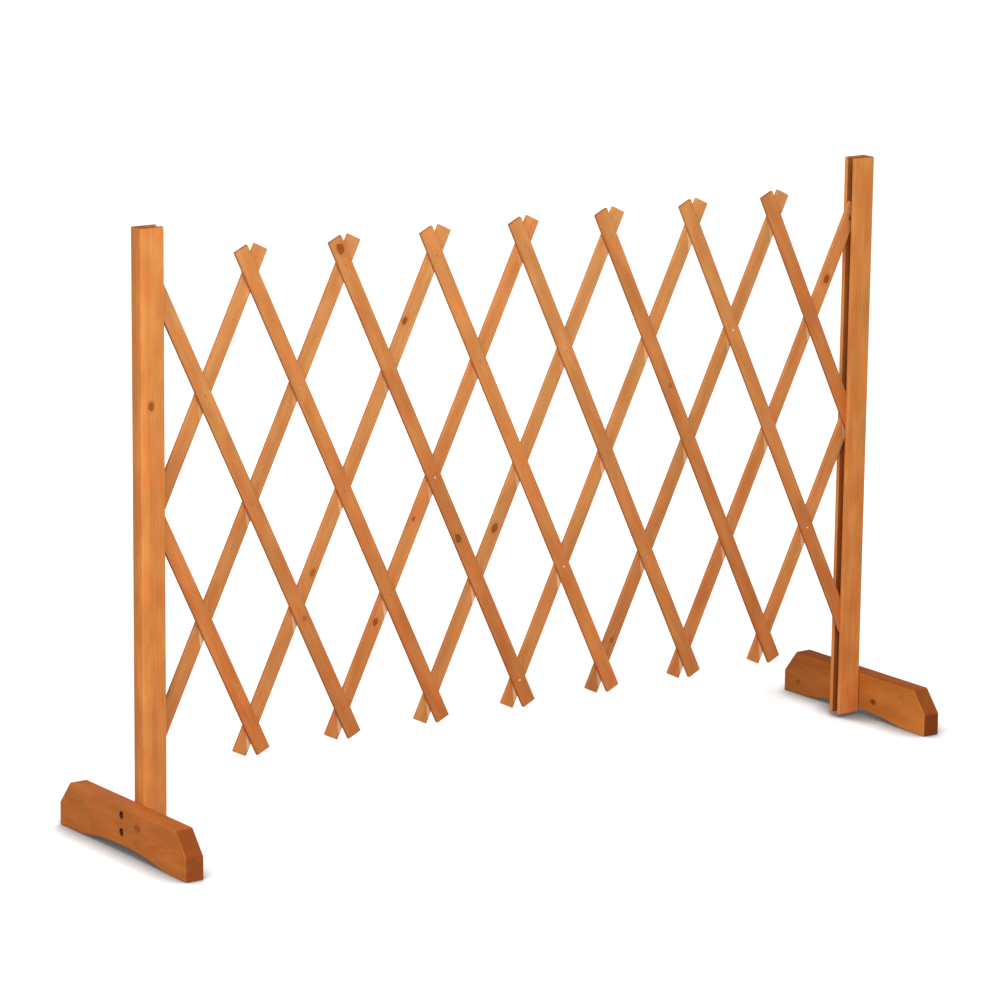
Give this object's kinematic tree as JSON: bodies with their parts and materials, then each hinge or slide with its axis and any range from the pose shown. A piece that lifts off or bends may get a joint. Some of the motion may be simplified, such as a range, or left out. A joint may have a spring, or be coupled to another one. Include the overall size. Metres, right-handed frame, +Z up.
{
  "type": "expanding garden trellis",
  "caption": "Free-standing expanding wooden trellis: a pinned scissor lattice of slats between two grooved posts on arched feet, for climbing plants.",
  "frame": {"origin": "on the floor, midway between the two posts and between the front and back of the feet", "axes": "+Z up, +X along the lattice from the left post to the right post, -Y towards the front layer"},
  "size_m": [1.616, 0.4, 1.042],
  "materials": {
    "post_wood": "stained softwood, satin",
    "foot_wood": "stained softwood, satin",
    "front_slat_wood": "stained softwood, satin",
    "back_slat_wood": "stained softwood, satin",
    "pin_metal": "plated",
    "screw_metal": "zinc plated"
  },
  "bodies": {
    "left_stand": {"left_post": "post_wood", "left_foot": "foot_wood", "left_foot_screws": "screw_metal", "left_post_pin": "pin_metal"},
    "front_1": {"front_slat_1": "front_slat_wood", "slat_pins_1": "pin_metal"},
    "front_2": {"front_slat_2": "front_slat_wood", "slat_pins_2": "pin_metal"},
    "front_3": {"front_slat_3": "front_slat_wood", "slat_pins_3": "pin_metal"},
    "front_4": {"front_slat_4": "front_slat_wood", "slat_pins_4": "pin_metal"},
    "front_5": {"front_slat_5": "front_slat_wood", "slat_pins_5": "pin_metal"},
    "front_6": {"front_slat_6": "front_slat_wood", "slat_pins_6": "pin_metal"},
    "front_7": {"front_slat_7": "front_slat_wood", "slat_pins_7": "pin_metal"},
    "front_8": {"front_slat_8": "front_slat_wood", "slat_pins_8": "pin_metal"},
    "front_9": {"front_slat_9": "front_slat_wood", "slat_pins_9": "pin_metal"},
    "back_1": {"back_slat_1": "back_slat_wood"},
    "back_2": {"back_slat_2": "back_slat_wood"},
    "back_3": {"back_slat_3": "back_slat_wood"},
    "back_4": {"back_slat_4": "back_slat_wood"},
    "back_5": {"back_slat_5": "back_slat_wood"},
    "back_6": {"back_slat_6": "back_slat_wood"},
    "back_7": {"back_slat_7": "back_slat_wood"},
    "back_8": {"back_slat_8": "back_slat_wood"},
    "back_9": {"back_slat_9": "back_slat_wood"},
    "right_stand": {"right_post": "post_wood", "right_foot": "foot_wood", "right_foot_screws": "screw_metal", "right_post_pin": "pin_metal"}
  },
  "joints": [
    {"name": "spread", "type": "hinge", "parent": "left_stand", "child": "front_1", "pos_m": [-0.73896, 0, 0.562], "axis": [0, -1, 0], "range_deg": [-21.5, 8.3]},
    {"name": "back_1_pivot", "type": "hinge", "parent": "left_stand", "child": "back_1", "pos_m": [-0.73896, 0, 0.562], "axis": [0, -1, 0], "range_deg": [-8.3, 21.5]},
    {"name": "back_2_pivot", "type": "hinge", "parent": "front_1", "child": "back_2", "pos_m": [-0.64659, 0, 0.37007], "axis": [0, -1, 0], "range_deg": [-16.6, 43]},
    {"name": "back_3_pivot", "type": "hinge", "parent": "front_1", "child": "back_3", "pos_m": [-0.55422, 0, 0.17814], "axis": [0, -1, 0], "range_deg": [-16.6, 43]},
    {"name": "front_2_pivot", "type": "hinge", "parent": "back_3", "child": "front_2", "pos_m": [-0.46185, 0, 0.37007], "axis": [0, -1, 0], "range_deg": [-43, 16.6]},
    {"name": "front_3_pivot", "type": "hinge", "parent": "back_3", "child": "front_3", "pos_m": [-0.36948, 0, 0.562], "axis": [0, -1, 0], "range_deg": [-43, 16.6]},
    {"name": "front_4_pivot", "type": "hinge", "parent": "back_3", "child": "front_4", "pos_m": [-0.27711, 0, 0.75393], "axis": [0, -1, 0], "range_deg": [-43, 16.6]},
    {"name": "front_5_pivot", "type": "hinge", "parent": "back_3", "child": "front_5", "pos_m": [-0.18474, 0, 0.94586], "axis": [0, -1, 0], "range_deg": [-43, 16.6]},
    {"name": "back_4_pivot", "type": "hinge", "parent": "front_5", "child": "back_4", "pos_m": [-0.09237, 0, 0.75393], "axis": [0, -1, 0], "range_deg": [-16.6, 43]},
    {"name": "back_5_pivot", "type": "hinge", "parent": "front_5", "child": "back_5", "pos_m": [0, 0, 0.562], "axis": [0, -1, 0], "range_deg": [-16.6, 43]},
    {"name": "back_6_pivot", "type": "hinge", "parent": "front_5", "child": "back_6", "pos_m": [0.09237, 0, 0.37007], "axis": [0, -1, 0], "range_deg": [-16.6, 43]},
    {"name": "back_7_pivot", "type": "hinge", "parent": "front_5", "child": "back_7", "pos_m": [0.18474, 0, 0.17814], "axis": [0, -1, 0], "range_deg": [-16.6, 43]},
    {"name": "front_6_pivot", "type": "hinge", "parent": "back_7", "child": "front_6", "pos_m": [0.27711, 0, 0.37007], "axis": [0, -1, 0], "range_deg": [-43, 16.6]},
    {"name": "front_7_pivot", "type": "hinge", "parent": "back_7", "child": "front_7", "pos_m": [0.36948, 0, 0.562], "axis": [0, -1, 0], "range_deg": [-43, 16.6]},
    {"name": "front_8_pivot", "type": "hinge", "parent": "back_7", "child": "front_8", "pos_m": [0.46185, 0, 0.75393], "axis": [0, -1, 0], "range_deg": [-43, 16.6]},
    {"name": "front_9_pivot", "type": "hinge", "parent": "back_7", "child": "front_9", "pos_m": [0.55422, 0, 0.94586], "axis": [0, -1, 0], "range_deg": [-43, 16.6]},
    {"name": "back_8_pivot", "type": "hinge", "parent": "front_9", "child": "back_8", "pos_m": [0.64659, 0, 0.75393], "axis": [0, -1, 0], "range_deg": [-16.6, 43]},
    {"name": "back_9_pivot", "type": "hinge", "parent": "front_9", "child": "back_9", "pos_m": [0.73896, 0, 0.562], "axis": [0, -1, 0], "range_deg": [-16.6, 43]},
    {"name": "right_stand_pivot", "type": "hinge", "parent": "front_9", "child": "right_stand", "pos_m": [0.73896, 0, 0.562], "axis": [0, -1, 0], "range_deg": [-8.3, 21.5]}
  ],
  "couplings": [
    {"joint": "back_1_pivot", "follows": "spread", "ratio": -1},
    {"joint": "back_2_pivot", "follows": "spread", "ratio": -2},
    {"joint": "back_3_pivot", "follows": "spread", "ratio": -2},
    {"joint": "front_2_pivot", "follows": "spread", "ratio": 2},
    {"joint": "front_3_pivot", "follows": "spread", "ratio": 2},
    {"joint": "front_4_pivot", "follows": "spread", "ratio": 2},
    {"joint": "front_5_pivot", "follows": "spread", "ratio": 2},
    {"joint": "back_4_pivot", "follows": "spread", "ratio": -2},
    {"joint": "back_5_pivot", "follows": "spread", "ratio": -2},
    {"joint": "back_6_pivot", "follows": "spread", "ratio": -2},
    {"joint": "back_7_pivot", "follows": "spread", "ratio": -2},
    {"joint": "front_6_pivot", "follows": "spread", "ratio": 2},
    {"joint": "front_7_pivot", "follows": "spread", "ratio": 2},
    {"joint": "front_8_pivot", "follows": "spread", "ratio": 2},
    {"joint": "front_9_pivot", "follows": "spread", "ratio": 2},
    {"joint": "back_8_pivot", "follows": "spread", "ratio": -2},
    {"joint": "back_9_pivot", "follows": "spread", "ratio": -2},
    {"joint": "right_stand_pivot", "follows": "spread", "ratio": -1}
  ]
}
